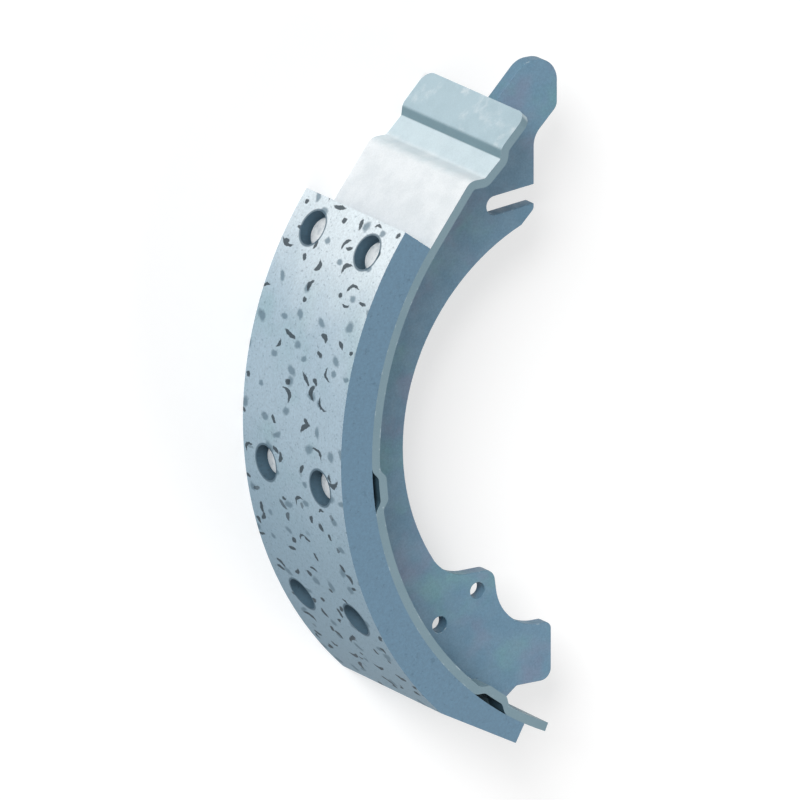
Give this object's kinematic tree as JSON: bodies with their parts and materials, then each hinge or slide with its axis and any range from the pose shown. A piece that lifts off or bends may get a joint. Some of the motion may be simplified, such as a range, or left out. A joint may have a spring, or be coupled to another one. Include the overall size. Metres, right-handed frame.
{
  "type": "brake shoe",
  "caption": "Drum brake shoe: a flat steel web welded under a bent steel table, with a thick friction lining held by tubular rivets.",
  "frame": {"origin": "centre of the hold-down hole, in the middle plane of the web", "axes": "+Z along the drum's axis, towards the backing plate; +Y along the shoe, towards the wheel cylinder's end; +X from the lining towards the drum's axis, which is at x = 98 mm, y = 0"},
  "size_m": [0.1015, 0.2231, 0.06],
  "materials": {
    "web_steel": "satin blue-grey paint",
    "table_steel": "pale satin blue-grey paint",
    "friction_lining": "matt resin-bonded fibre with dark flecks",
    "rivet_metal": "bright plated"
  },
  "bodies": {
    "root": {"web": "web_steel", "table": "table_steel", "lining": "friction_lining", "rivet_1": "rivet_metal", "rivet_2": "rivet_metal", "rivet_3": "rivet_metal", "rivet_4": "rivet_metal", "rivet_5": "rivet_metal", "rivet_6": "rivet_metal", "rivet_7": "rivet_metal", "rivet_8": "rivet_metal"}
  },
  "joints": []
}
